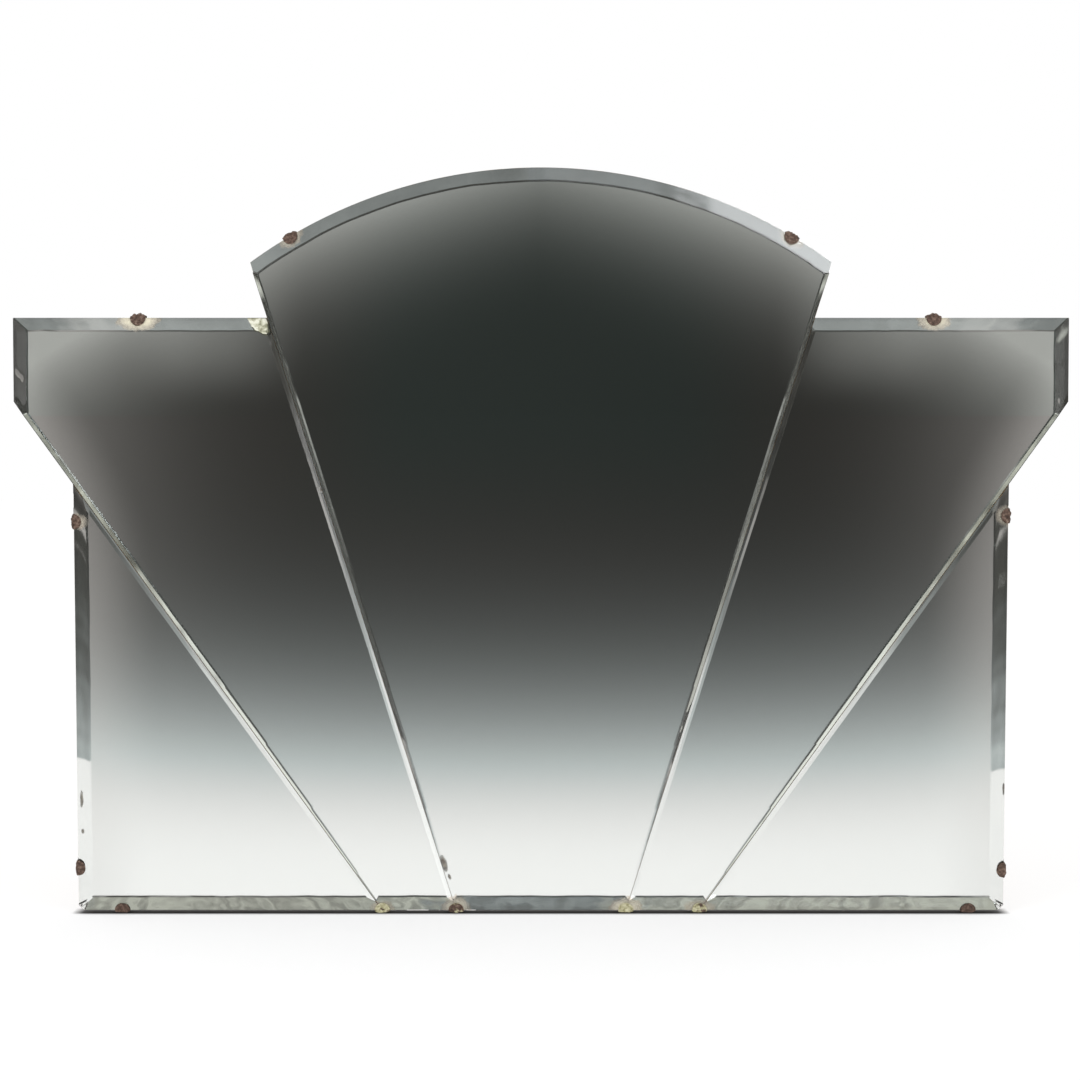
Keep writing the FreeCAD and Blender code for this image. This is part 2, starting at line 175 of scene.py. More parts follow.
def nearness(tree, place, ragged, spots):
    """One at the middle of the nearest of some oval spots, nothing outside them, with ragged borders.
    A spot has its middle, the direction along it, its reach in mm along and across, and its strength."""
    stray = add(
        tree, "ShaderNodeMath", {0: ragged, 1: 2 * RAGGED_STRAY, 2: -RAGGED_STRAY}, operation="MULTIPLY_ADD"
    )
    nearest = None
    for centre, along, reach_along, reach_across, strength in spots:
        middle = (centre.x, 0, centre.y)
        offset = add(tree, "ShaderNodeVectorMath", {0: place, 1: middle}, operation="SUBTRACT")
        shares = []
        for direction, reach in ((along, reach_along), (Vector((-along.y, along.x)), reach_across)):
            scaled = (direction.x / (reach * MM), 0, direction.y / (reach * MM))
            share = add(tree, "ShaderNodeVectorMath", {0: offset, 1: scaled}, operation="DOT_PRODUCT")
            shares.append(share.outputs["Value"])
        oval = add(tree, "ShaderNodeCombineXYZ", {0: shares[0], 1: shares[1]})
        away = add(tree, "ShaderNodeVectorMath", {0: oval}, operation="LENGTH").outputs["Value"]
        away = add(tree, "ShaderNodeMath", {0: away, 1: stray}, operation="ADD")
        near = add(
            tree, "ShaderNodeMapRange",
            {"Value": away, "From Min": 1.0, "From Max": SPOT_CORE, "To Max": strength},
        )
        if nearest:
            near = add(tree, "ShaderNodeMath", {0: near, 1: nearest}, operation="MAXIMUM")
        nearest = near
    return nearest


def plate_glass():
    """Polished plate glass: clear, with the faintest green, and a cream film of old polish at the clips."""
    material, tree, place = new_material("polished_plate_glass")
    spots = []
    for clip, (reach_along, reach_across, strength) in FILMS.items():
        outward = outward_of(clip)
        along = Vector((-outward.y, outward.x))
        spots.append((clip_centre(clip), along, reach_along, reach_across, strength))
    ragged = add(tree, "ShaderNodeTexNoise", {"Vector": place, "Scale": 1 / RAGGED_GRAIN, "Detail": 3.0})
    near = nearness(tree, place, ragged, spots)
    # The film lies on the front and the bevels only.
    back = max(vertex.co.y for vertex in nodes["centre_pane"].data.vertices)
    depth = add(tree, "ShaderNodeSeparateXYZ", {0: place}).outputs["Y"]
    front = add(tree, "ShaderNodeMath", {0: depth, 1: back - 1 * MM}, operation="LESS_THAN")
    film = add(tree, "ShaderNodeMath", {0: near, 1: front}, operation="MULTIPLY")
    stops = [(0.0, "f9fcfb"), (0.12, "f1e8da"), (0.8, "efe8d0")]
    shade = add(tree, "ShaderNodeValToRGB", {"Fac": film}, stops)
    clear = add(tree, "ShaderNodeMath", {0: 1.0, 1: film}, operation="SUBTRACT")
    shader = add(
        tree, "ShaderNodeBsdfPrincipled",
        {"Base Color": shade, "Transmission Weight": 1.0, "IOR": GLASS_IOR, "Roughness": 0.0},
    )
    # The plain value stays behind the link, for an export that drops the link.
    tree.links.new(clear.outputs[0], shader.inputs["Transmission Weight"])
    add(tree, "ShaderNodeOutputMaterial", {"Surface": shader})
    return material


def bruised_glass():
    """Glass crushed along a chip: sugary white with a yellow cast from old polish."""
    material, tree, place = new_material("bruised_glass_chip")
    crush = add(tree, "ShaderNodeTexNoise", {"Vector": place, "Scale": 1 / (3.2 * MM), "Detail": 3.0})
    stops = [(0.34, "86856e"), (0.47, "bdbca4"), (0.6, "e4e4d3")]
    shade = add(tree, "ShaderNodeValToRGB", {"Fac": crush}, stops)
    bump = add(tree, "ShaderNodeBump", {"Height": crush, "Strength": 0.3, "Distance": 0.3 * MM})
    shader = add(
        tree, "ShaderNodeBsdfPrincipled", {"Base Color": shade, "Normal": bump, "Roughness": 0.6}
    )
    add(tree, "ShaderNodeOutputMaterial", {"Surface": shader})
    return material


def silvered_film():
    """Chemical silver seen through the glass: bright, with a few flaws eaten brown by damp."""
    material, tree, place = new_material("silver_film_with_foxing")
    spots = []
    for x, z, reach_along, reach_across, lean in RUSTY_FLAWS:
        turn = math.radians(lean)
        along = Vector((-math.sin(turn), math.cos(turn)))
        spots.append((Vector((x, z)) * MM, along, reach_along, reach_across, 1.0))
    ragged = add(tree, "ShaderNodeTexNoise", {"Vector": place, "Scale": 1 / RAGGED_GRAIN, "Detail": 3.0})
    flaw = nearness(tree, place, ragged, spots)
    rust = add(tree, "ShaderNodeValToRGB", {"Fac": ragged}, [(0.35, "86766a"), (0.6, "cdc0b0")])
    shades = {"Factor": flaw, "A": colour("f4f5f5"), "B": rust}
    shade = add(tree, "ShaderNodeMix", shades, data_type="RGBA").outputs["Result"]
    whole = add(tree, "ShaderNodeMapRange", {"Value": flaw, "To Min": 1.0, "To Max": 0.1})
    dull = add(tree, "ShaderNodeMapRange", {"Value": flaw, "From Max": 0.4, "To Max": 0.7})
    shader = add(
        tree, "ShaderNodeBsdfPrincipled", {"Base Color": shade, "Metallic": whole, "Roughness": dull}
    )
    add(tree, "ShaderNodeOutputMaterial", {"Surface": shader})
    return material


def birch_plywood():
    """Bare birch plywood, yellowed: long faint grain on the face, plies with dark glue lines at the edge."""
    material, tree, place = new_material("bare_birch_plywood")
    stretched = add(tree, "ShaderNodeMapping", {"Vector": place, "Scale": WOOD_GRAIN})
    waves = {"Vector": stretched, "Scale": 1.0, "Detail": 6.0, "Distortion": 0.8}
    grain = add(tree, "ShaderNodeTexNoise", waves)
    stops = [(0.3, "a5835a"), (0.5, "b89469"), (0.7, "c6a57b")]
    face = add(tree, "ShaderNodeValToRGB", {"Fac": grain}, stops)
    fine = add(tree, "ShaderNodeMapping", {"Vector": place, "Scale": WOOD_PORES})
    pores = add(tree, "ShaderNodeTexNoise", {"Vector": fine, "Scale": 1.0, "Detail": 2.0})
    pores = add(
        tree, "ShaderNodeMapRange", {"Value": pores, "From Min": 0.56, "From Max": 0.72, "To Max": 0.35}
    )
    shades = {"Factor": pores, "A": face, "B": colour("7c5c3a")}
    face = add(tree, "ShaderNodeMix", shades, data_type="RGBA").outputs["Result"]

    # Each ply crosses the one before, so that every second one shows its dark ends.
    back = max(vertex.co.y for vertex in nodes["backboard"].data.vertices)
    depth = add(tree, "ShaderNodeSeparateXYZ", {0: place}).outputs["Y"]
    depth = add(tree, "ShaderNodeMath", {0: back, 1: depth}, operation="SUBTRACT")
    plies = add(tree, "ShaderNodeMath", {0: depth, 1: 1 / PLY_THICKNESS}, operation="MULTIPLY")
    crossed = add(tree, "ShaderNodeMath", {0: plies, 1: 1.0}, operation="PINGPONG")
    crossed = add(tree, "ShaderNodeMapRange", {"Value": crossed, "From Min": 0.4, "From Max": 0.6})
    glue = add(tree, "ShaderNodeMath", {0: plies, 1: 0.5, 2: 0.5}, operation="ADD")
    glue = add(tree, "ShaderNodeMath", {0: glue, 1: 0.5}, operation="PINGPONG")
    glue = add(tree, "ShaderNodeMapRange", {"Value": glue, "From Min": 0.1, "From Max": 0.02})
    shades = {"Factor": crossed, "A": colour("b39066"), "B": colour("8a6a45")}
    edge = add(tree, "ShaderNodeMix", shades, data_type="RGBA").outputs["Result"]
    shades = {"Factor": glue, "A": edge, "B": colour("4a3524")}
    edge = add(tree, "ShaderNodeMix", shades, data_type="RGBA").outputs["Result"]

    normal = add(tree, "ShaderNodeNewGeometry").outputs["Normal"]
    facing = add(tree, "ShaderNodeSeparateXYZ", {0: normal}).outputs["Y"]
    facing = add(tree, "ShaderNodeMath", {0: facing}, operation="ABSOLUTE")
    on_face = add(tree, "ShaderNodeMath", {0: facing, 1: 0.7}, operation="GREATER_THAN")
    shades = {"Factor": on_face, "A": edge, "B": face}
    shade = add(tree, "ShaderNodeMix", shades, data_type="RGBA").outputs["Result"]
    shader = add(tree, "ShaderNodeBsdfPrincipled", {"Base Color": shade, "Roughness": 0.75})
    add(tree, "ShaderNodeOutputMaterial", {"Surface": shader})
    return material


def rusted_steel():
    """Mild steel strip: brown, lumpy, matt scale, with what is left of a cream paint on some clips."""
    material, tree, place = new_material("rusted_steel_strip")
    lumps = {"Vector": place, "Scale": 1 / (2.2 * MM), "Detail": 5.0, "Roughness": 0.65}
    scale = add(tree, "ShaderNodeTexNoise", lumps)
    stops = [(0.3, "2c211b"), (0.46, "4c3a30"), (0.58, "6a554a"), (0.74, "988879")]
    rust = add(tree, "ShaderNodeValToRGB", {"Fac": scale}, stops)
    stops = [(0.32, "6f684c"), (0.46, "b5b08a"), (0.64, "dbd7b8")]
    paint = add(tree, "ShaderNodeValToRGB", {"Fac": scale}, stops)
    flaking = add(tree, "ShaderNodeTexNoise", {"Vector": place, "Scale": 1 / (5 * MM), "Detail": 4.0})
    left = add(tree, "ShaderNodeAttribute", attribute_name="paint").outputs["Fac"]
    bare = add(tree, "ShaderNodeMath", {0: left, 1: flaking}, operation="SUBTRACT")
    kept = add(tree, "ShaderNodeMapRange", {"Value": bare, "From Min": -0.04, "From Max": 0.04})
    shades = {"Factor": kept, "A": rust, "B": paint}
    shade = add(tree, "ShaderNodeMix", shades, data_type="RGBA").outputs["Result"]
    shader = add(tree, "ShaderNodeBsdfPrincipled", {"Base Color": shade, "Roughness": 0.8})
    add(tree, "ShaderNodeOutputMaterial", {"Surface": shader})
    return material


def grained(name, grain, detail, stops, finish):
    """A material whose shade follows a fine grain of its own size. What it gives the eye is said below,
    where each is made."""
    material, tree, place = new_material(name)
    patches = add(tree, "ShaderNodeTexNoise", {"Vector": place, "Scale": 1 / grain, "Detail": detail})
    shade = add(tree, "ShaderNodeValToRGB", {"Fac": patches}, stops)
    shader = add(tree, "ShaderNodeBsdfPrincipled", {"Base Color": shade, **finish})
    add(tree, "ShaderNodeOutputMaterial", {"Surface": shader})
    return material


# Panes of bevelled glass

# Closer than this, depths are one face, places are one corner of an outline, and vertices are one.
SAME_DEPTH, SAME_CORNER, SAME_VERTEX = 0.02 * MM, 0.05 * MM, 0.01 * MM
# A step along the edges of a pane's mesh, and the turn of an outline that makes a corner.
SAMPLE_STEP, CORNER_TURN = 2.0 * MM, math.radians(8)
# Distances down the bevel from its ridge, at which the rows of a pane's mesh lie. The first row is still
# on the flat face. The joint bevels end at 3.1 mm and the outer ones at 10 mm, at the same slope.
BEVEL_ROWS = [down * MM for down in (-0.06, 0.06, 0.6, 1.2, 1.8, 2.4, 3.1, 3.8, 5.0, 6.4, 8.0, 9.4, 10.0)]
# The joint bevels look narrower in the photograph than those of the solids, which are 3.8 mm. A bevel
# that is narrower than the limit is a joint bevel.
JOINT_BEVEL, JOINT_BEVEL_LIMIT = 3.1 * MM, 6 * MM
# The ground faces of the joints nearly touch. The solids have a wider gap there.
JOINT_GROWTH = 0.2 * MM
# Shorter edges are corners that were ground off, and don't set the width of a pane's bevels.
SHORT_EDGE = 12 * MM
# A ridge strays by up to about this much, in slow and quick waves that fade towards the corners.
JOINT_STRAY, OUTER_STRAY = 0.16 * MM, 0.42 * MM
SLOW_WAVE, QUICK_WAVE, WAVE_FADE = 31 * MM, 11 * MM, 12 * MM
# Streaks that the grinding left in a bevel: their length, their width, where their noise starts, and how
# much they tilt the bevel along the edge and across it.
STREAKS = [(16 * MM, 4 * MM, 0, 0.010, 0.008), (60 * MM, 20 * MM, 40, 0.012, 0.014)]
# How far apart the seeds of a pane's edges and of the panes are, so that no two bevels are alike.
EDGE_SEED, PANE_SEED = 17.3, 101.7
# Below these heights the upright side bevels were ground again, facing a little upwards.
REGROUND_LEFT, REGROUND_RIGHT = 111.5 * MM, 103 * MM
REGROUND_TILT = math.tan(math.radians(9))
# Towards the foot of a joint the upper pane's bevel gets narrower by this much, from this height down.
WORN_WIDTH, WORN_HEIGHT = 2.2 * MM, 170 * MM
# The arch's bevel is a little steeper, the more so towards its shoulders: from this far out, over this
# run, by this much. The bevels on top of the wings are less steep.
SHOULDER_FROM, SHOULDER_RUN, SHOULDER_TILT = 90 * MM, 110 * MM, math.tan(math.radians(2.8))
ARCH_TILT, WING_TILT = math.tan(math.radians(1.4)), math.tan(math.radians(2.2))


def outline_at(mesh, depth):
    """The corners of the flat face at a depth, anticlockwise as seen from the front."""
    found = []
    for vertex in mesh.vertices:
        place = Vector((vertex.co.x, vertex.co.z))
        is_new = all((place - other).length > SAME_CORNER for other in found)
        if abs(vertex.co.y - depth) < SAME_DEPTH and is_new:
            found.append(place)
    centre = sum(found, Vector((0, 0))) / len(found)
    return sorted(found, key=lambda place: math.atan2(place.y - centre.y, place.x - centre.x))


def back_outline(name):
    """The outline of a pane at its back, where it is widest."""
    mesh = nodes[name].data
    return outline_at(mesh, max(vertex.co.y for vertex in mesh.vertices))


def circle_through(a, b, c):
    """Centre and radius of the circle through three places."""
    ab, ac = b - a, c - a
    cross = 2 * (ab.x * ac.y - ab.y * ac.x)
    offset = Vector((
        ac.y * ab.length_squared - ab.y * ac.length_squared,
        ab.x * ac.length_squared - ac.x * ab.length_squared,
    )) / cross
    return a + offset, offset.length


def split_edges(outline):
    """The edges of an outline, each with its end places, and its circle where it is an arc."""
    count = len(outline)
    corners = []
    for number, place in enumerate(outline):
        before = place - outline[number - 1]
        after = outline[(number + 1) % count] - place
        if abs(before.angle_signed(after)) > CORNER_TURN:
            corners.append(number)
    edges = []
    for number, first in enumerate(corners):
        last = corners[(number + 1) % len(corners)]
        inside = (last - first) % count
        edge = {"start": outline[first], "end": outline[last], "centre": None}
        if inside > 1:
            middle = outline[(first + inside // 2) % count]
            edge["centre"], edge["radius"] = circle_through(edge["start"], middle, edge["end"])
        edges.append(edge)
    return edges


def inward(edge):
    """The direction from a straight edge into its pane."""
    along = (edge["end"] - edge["start"]).normalized()
    return Vector((-along.y, along.x))


def depth_inside(edge, place):
    """How far inside an edge a place lies."""
    if edge["centre"] is None:
        return (place - edge["start"]).dot(inward(edge))
    return edge["radius"] - (place - edge["centre"]).length


def meet(first, first_inset, second, second_inset):
    """Where two neighbouring edges meet, each moved inwards."""
    if first["centre"] is None and second["centre"] is None:
        a = first["start"] + inward(first) * first_inset
        b = second["start"] + inward(second) * second_inset
        u = first["end"] - first["start"]
        v = second["end"] - second["start"]
        share = ((b.x - a.x) * v.y - (b.y - a.y) * v.x) / (u.x * v.y - u.y * v.x)
        return a + u * share
    arc, line, arc_inset, line_inset = first, second, first_inset, second_inset
    if arc["centre"] is None:
        arc, line, arc_inset, line_inset = second, first, second_inset, first_inset
    base = line["start"] + inward(line) * line_inset
    along = (line["end"] - line["start"]).normalized()
    offset = base - arc["centre"]
    radius = arc["radius"] - arc_inset
    middle = -offset.dot(along)
    reach = math.sqrt(radius ** 2 - (offset + along * middle).length_squared)
    hits = [base + along * (middle + sign * reach) for sign in (-1, 1)]
    return min(hits, key=lambda hit: (hit - second["start"]).length)


def row_corners(edges, insets):
    """The corners of the outline moved inwards. An edge that would turn round shrinks to a point."""
    corners = [meet(edges[n - 1], insets[n - 1], edges[n], insets[n]) for n in range(len(edges))]
    starts, ends = list(corners), corners[1:] + corners[:1]
    for number, edge in enumerate(edges):
        if (ends[number] - starts[number]).dot(edge["end"] - edge["start"]) < 0:
            before, after = (number - 1) % len(edges), (number + 1) % len(edges)
            point = meet(edges[before], insets[before], edges[after], insets[after])
            starts[number] = ends[number] = ends[before] = starts[after] = point
    return starts, ends


def along_edge(edge, start, end, share):
    """The place at a share of the way from start to end, on the edge's own line or circle."""
    if edge["centre"] is None:
        return start.lerp(end, share)
    first, last = start - edge["centre"], end - edge["centre"]
    turn = -first.angle_signed(last) * share
    direction = Vector((
        first.x * math.cos(turn) - first.y * math.sin(turn),
        first.x * math.sin(turn) + first.y * math.cos(turn),
    ))
    return edge["centre"] + direction


def ground_edges(name):
    """A pane's edges, each with its length, its steps, the width of its bevel and the seed of its grinding
    marks. With them come the slope of the bevels and the depths of the pane's front and back."""
    source = nodes[name].data
    depths = [vertex.co.y for vertex in source.vertices]
    front, back = min(depths), max(depths)
    bevel_foot = sorted({round(depth, 5) for depth in depths})[-2]
    edges = split_edges(back_outline(name))
    face = outline_at(source, front)
    for number, edge in enumerate(edges):
        width = min(depth_inside(edge, place) for place in face)
        edge["joint"] = width < JOINT_BEVEL_LIMIT
        edge["width"] = min(width, JOINT_BEVEL) if edge["joint"] else width
        edge["run"] = (edge["end"] - edge["start"]).length
        edge["steps"] = max(3, round(edge["run"] / SAMPLE_STEP))
        edge["seed"] = EDGE_SEED * number + PANE_SEED * PANES.index(name)
    full = max(edge["width"] for edge in edges if edge["run"] > SHORT_EDGE)
    for edge in edges:
        edge["width"] = min(edge["width"], full)
    return edges, (bevel_foot - front) / full, front, back


def ground_wave(seed, distance, length, most):
    """How far the hand-ground ridge strays at a distance along its edge, nothing at the corners."""
    slow = noise.noise(Vector((distance / SLOW_WAVE, seed, 0)))
    quick = noise.noise(Vector((distance / QUICK_WAVE, seed, 5)))
    fade = min(1, distance / WAVE_FADE, (length - distance) / WAVE_FADE)
    return most * fade * (slow + 0.5 * quick)


def ground_rows(edges, slope, front, back):
    """The places of a pane's mesh, from the flat face down the bevels to the back: for each row, for each
    edge, from corner to corner."""
    rows = []
    for down in BEVEL_ROWS:
        insets = []
        for edge in edges:
            inset = max(0, edge["width"] - down)
            at_joint = edge["joint"] and inset < SAME_CORNER and edge["run"] > SHORT_EDGE
            insets.append(-JOINT_GROWTH if at_joint else inset)
        lines = []
        for edge, start, end in zip(edges, *row_corners(edges, insets)):
            most = (JOINT_STRAY if edge["joint"] else OUTER_STRAY) * max(0, 1 - max(0, down) / edge["width"])
            line = []
            for step in range(edge["steps"] + 1):
                share = step / edge["steps"]
                place = along_edge(edge, start, end, share)
                direction = inward(edge)
                if edge["centre"] is not None:
                    direction = (edge["centre"] - place).normalized()
                place = place + direction * ground_wave(edge["seed"], share * edge["run"], edge["run"], most)
                line.append(Vector((place.x, front + slope * max(0, down), min(place.y, cad_high[2]))))
            lines.append(line)
        rows.append(lines)
    rows.append([[Vector((place.x, back, place.z)) for place in line] for line in rows[-1]])
    return rows


def worn_bevel(bevel, along, across, edge, distance, down, place):
    """The bevel's facing at a place: worn flat at a joint's foot, or tilted by how it was ground, and with
    the shallow streaks that hand grinding leaves in it."""
    on_lower_side, on_top, upright = across.z < -0.1, across.z > 0.9, abs(along.z) > 0.99
    worn = WORN_WIDTH * min(1, max(0, 1 - place.z / WORN_HEIGHT))
    if edge["joint"] and on_lower_side and down < worn:
        return AHEAD
    if edge["centre"] is not None:
        shoulder = min(1, max(0, (abs(place.x) - SHOULDER_FROM) / SHOULDER_RUN))
        bevel = bevel + across * (ARCH_TILT + SHOULDER_TILT * shoulder)
    elif on_top:
        bevel = bevel - across * WING_TILT
    if upright and place.z < (REGROUND_LEFT if place.x < 0 else REGROUND_RIGHT):
        bevel = bevel + Vector((0, 0, REGROUND_TILT))
    lengthwise = crosswise = 0
    for length, width, start, tilt_along, tilt_across in STREAKS:
        where = Vector((distance / length, down / width, edge["seed"] + start))
        lengthwise += tilt_along * noise.noise(where)
        crosswise += tilt_across * noise.noise(where + Vector((0, 0, 9)))
    return (bevel + along * lengthwise + across * crosswise).normalized()


def ground_facings(edge, number, rows, last_bevel):
    """For each step along an edge, which way the rows of its bevel face, and which way its wall does."""
    ridge, outer = rows[1][number], rows[last_bevel][number]
    facings = []
    for at in range(edge["steps"] + 1):
        low, high = max(0, at - 1), min(edge["steps"], at + 1)
        along = (ridge[high] - ridge[low]).normalized()
        across = outer[at] - ridge[at]
        across -= along * across.dot(along)
        outward = (outer[high] - outer[low]).cross(BEHIND).normalized()
        # A bevel that has shrunk to nothing at a corner has no facing of its own.
        bevel = along.cross(across).normalized() if across.length > 0.1 * MM else AHEAD
        bevel = bevel if bevel.y < 0 else -bevel
        distance = edge["run"] * at / edge["steps"]
        column = [AHEAD]
        for down in BEVEL_ROWS[1 : last_bevel + 1]:
            column.append(worn_bevel(bevel, along, across.normalized(), edge, distance, down, ridge[at]))
        facings.append((column, outward))
    return facings


def pane_mesh(name):
    """A pane as one closed mesh: flat face, ground bevels, walls and back, with its own normals."""
    edges, slope, front, back = ground_edges(name)
    rows = ground_rows(edges, slope, front, back)
    places, lookup, faces, normals, walls = [], {}, [], [], []

    def index(place):
        key = tuple(round(value / SAME_VERTEX) for value in place)
        if key not in lookup:
            lookup[key] = len(places)
            places.append(place)
        return lookup[key]

    def add_face(loop, wall=False):
        seen = []
        for place, normal in loop:
            number = index(place)
            if all(number != other for other, kept in seen):
                seen.append((number, normal))
        if len(seen) > 2:
            faces.append([number for number, normal in seen])
            normals.extend(normal for number, normal in seen)
            walls.append(int(wall))

    for number, edge in enumerate(edges):
        last_bevel = max(n for n, down in enumerate(BEVEL_ROWS) if down <= edge["width"] + SAME_VERTEX)
        facings = ground_facings(edge, number, rows, last_bevel)
        for step in range(edge["steps"]):
            for row in range(len(rows) - 1):
                loop = []
                for at, level in ((step, row), (step, row + 1), (step + 1, row + 1), (step + 1, row)):
                    column, outward = facings[at]
                    normal = outward if row >= last_bevel else column[level]
                    loop.append((rows[level][number][at], normal))
                add_face(loop, row >= last_bevel)
    add_face([(place, AHEAD) for line in rows[0] for place in line[:-1]])
    add_face([(place, BEHIND) for line in reversed(rows[-1]) for place in reversed(line[1:])])
    mesh = bpy.data.meshes.new(name + "_ground")
    mesh.from_pydata(places, [], faces)
    mesh.polygons.foreach_set("material_index", walls)
    mesh.normals_split_custom_set([tuple(normal) for normal in normals])
    return mesh


def make_pane(name, materials):
    """A pane with its polished faces and its ground walls."""
    mesh = pane_mesh(name)
    for material in materials:
        mesh.materials.append(material)
    piece = put_in_scene(name + "_ground", mesh)
    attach(piece, "mirror")
    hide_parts(name)


# The chip at the top right corner of the left wing: its outline in mm from that corner, clockwise from
# the top left, how often each side is divided, and how far in mm its broken rim strays.
CHIP_OUTLINE = [
    (-14.0, -0.4), (-6.0, -0.3), (-0.5, -0.4), (1.1, -4.5), (2.4, -9.5), (1.2, -12.6), (-2.4, -12.4),
    (-5.0, -10.6), (-8.6, -9.4), (-10.8, -6.6), (-12.4, -3.4),
]
CHIP_PARTS = 4
CHIP_NICKS = 0.35
# Its rings from the rim inwards, as shares of its outline and of its lift off the glass.
CHIP_RINGS = ((1.0, 0.25), (0.84, 0.65), (0.6, 1.0), (0.36, 1.0), (0.14, 1.0))
CHIP_LIFT, CHIP_DEPTH = 0.07 * MM, 0.35 * MM
# Its rim is undercut, and painted in shade one ring further in, from this point of the outline to that one.
CHIP_RIM_FROM, CHIP_RIM_TO = 3, 9


def chip_rim(corner):
    """The places round the chip as seen from the front, with small nicks between its corners."""
    rim = []
    for number, point in enumerate(CHIP_OUTLINE):
        after = Vector(CHIP_OUTLINE[(number + 1) % len(CHIP_OUTLINE)])
        for step in range(CHIP_PARTS):
            place = Vector(point).lerp(after, step / CHIP_PARTS)
            nick = CHIP_NICKS * noise.noise(Vector((place.x, place.y, 2.0))) if step else 0
            rim.append(corner + (place + Vector((nick, nick))) * MM)
    return rim


def make_chip(name, materials):
    """A patch of crushed glass that follows the bevels at the corner of a pane."""
    edges, slope, front = ground_edges(name)[:3]
    # High up counts most, and then how far to the right.
    corner = max((edge["start"] for edge in edges), key=lambda place: place.y * 4 + place.x)

    def on_glass(place, lift):
        drop = max(slope * max(0, edge["width"] - depth_inside(edge, place)) for edge in edges)
        return Vector((place.x, front + drop + lift, place.y))

    rim = chip_rim(corner)
    count = len(rim)
    middle = sum(rim, Vector((0, 0))) / count
    places = [on_glass(place, CHIP_DEPTH) for place in rim]
    for share, lift in CHIP_RINGS:
        places += [on_glass(middle.lerp(place, share), -CHIP_LIFT * lift) for place in rim]
    places.append(on_glass(middle, -CHIP_LIFT))
    # Marked faces get the painted shade: the rim wall, the next ring where undercut, and the deep face.
    faces, in_painted_shade = [], []
    for number in range(count):
        after = (number + 1) % count
        undercut = CHIP_RIM_FROM * CHIP_PARTS <= number < CHIP_RIM_TO * CHIP_PARTS
        for ring in range(len(CHIP_RINGS)):
            inner, outer = (ring + 1) * count, ring * count
            faces.append((outer + number, inner + number, inner + after, outer + after))
            in_painted_shade.append(int(ring == 0 or ring == 1 and undercut))
        last = len(CHIP_RINGS) * count
        faces.append((last + number, len(places) - 1, last + after))
        in_painted_shade.append(0)
    faces.append(tuple(range(count)))
    in_painted_shade.append(1)
    mesh = bpy.data.meshes.new(name + "_chip")
    mesh.from_pydata(places, [], faces)
    for material in materials:
        mesh.materials.append(material)
    mesh.polygons.foreach_set("material_index", in_painted_shade)
    outward = bmesh.new()
    outward.from_mesh(mesh)
    bmesh.ops.recalc_face_normals(outward, faces=outward.faces)
    outward.to_mesh(mesh)
    outward.free()
    piece = put_in_scene(name + "_chip", mesh)
    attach(piece, "mirror")


# Clips eaten by rust

# The grid of a clip's rebuilt skin, how deep rust has eaten it at most, and how far apart the pits are.
CLIP_GRID, RUST_DEPTH, PIT_SPACING = 0.36 * MM, 0.9 * MM, 3.2 * MM
# The bend of the strip that lies outside the glass, and how much thicker rust has made it on top.
CLIP_BEND = 1.8 * MM
CLIP_SWELLING = {"arch": 1.5, "wing": 1.8, "side": 1.0}
# The lumps in that bend: how high as a share, how many along it, and over what length clips differ.
LUMP_HEIGHT, LUMP_COUNT, LUMP_CHANGE = 0.35, 4.0, 7 * MM


def corroding(material):
    """Geometry nodes that sink a clip's skin by an uneven layer of rust, never outwards."""
    tree = bpy.data.node_groups.new("corroding", "GeometryNodeTree")
    tree.interface.new_socket("Clip", in_out="INPUT", socket_type="NodeSocketGeometry")
    for label in ("Depth", "Pit spacing"):
        tree.interface.new_socket(label, in_out="INPUT", socket_type="NodeSocketFloat")
    tree.interface.new_socket("Clip", in_out="OUTPUT", socket_type="NodeSocketGeometry")
    given = add(tree, "NodeGroupInput")
    scale = add(tree, "ShaderNodeMath", {0: 1.0, 1: given.outputs["Pit spacing"]}, operation="DIVIDE")
    pits = add(tree, "ShaderNodeTexNoise", {"Scale": scale, "Detail": 3.0, "Roughness": 0.55})
    depth = add(tree, "ShaderNodeMath", {0: pits, 1: given.outputs["Depth"]}, operation="MULTIPLY")
    sunk = add(tree, "ShaderNodeMath", {0: depth, 1: -1.0}, operation="MULTIPLY")
    normal = add(tree, "GeometryNodeInputNormal")
    offset = add(tree, "ShaderNodeVectorMath", {0: normal, "Scale": sunk}, operation="SCALE")
    moved = add(tree, "GeometryNodeSetPosition", {"Geometry": given.outputs["Clip"], "Offset": offset})
    smooth = add(tree, "GeometryNodeSetShadeSmooth", {"Geometry": moved})
    real = add(tree, "GeometryNodeRealizeInstances", {"Geometry": smooth})
    covered = add(tree, "GeometryNodeSetMaterial", {"Geometry": real, "Material": material})
    add(tree, "NodeGroupOutput", {"Clip": covered})
    return tree


def dome(mesh, name):
    """Rounds the bent strip over the edge. Those on top have swollen most with rust."""
    outward, centre = outward_of(name), clip_centre(name)
    swelling = CLIP_SWELLING.get(name.split("_")[1], 1.0)
    along = Vector((-outward.y, outward.x))
    offsets = [Vector((vertex.co.x, vertex.co.z)) - centre for vertex in mesh.vertices]
    top = max(offset.dot(outward) for offset in offsets)
    half = max(abs(offset.dot(along)) for offset in offsets) + 0.1 * MM
    for vertex, offset in zip(mesh.vertices, offsets):
        bend = offset.dot(outward) - (top - CLIP_BEND)
        if bend > 0:
            share = offset.dot(along) / half
            where = Vector((share * LUMP_COUNT, centre.x / LUMP_CHANGE, centre.y / LUMP_CHANGE))
            lump = 1 + LUMP_HEIGHT * noise.noise(where)
            rounding = math.sqrt(max(0.02, 1 - share * share))
            moved = outward * bend * (swelling * lump * rounding - 1)
            vertex.co += Vector((moved.x, 0, moved.y))
            vertex.co.z = max(vertex.co.z, cad_low[2])


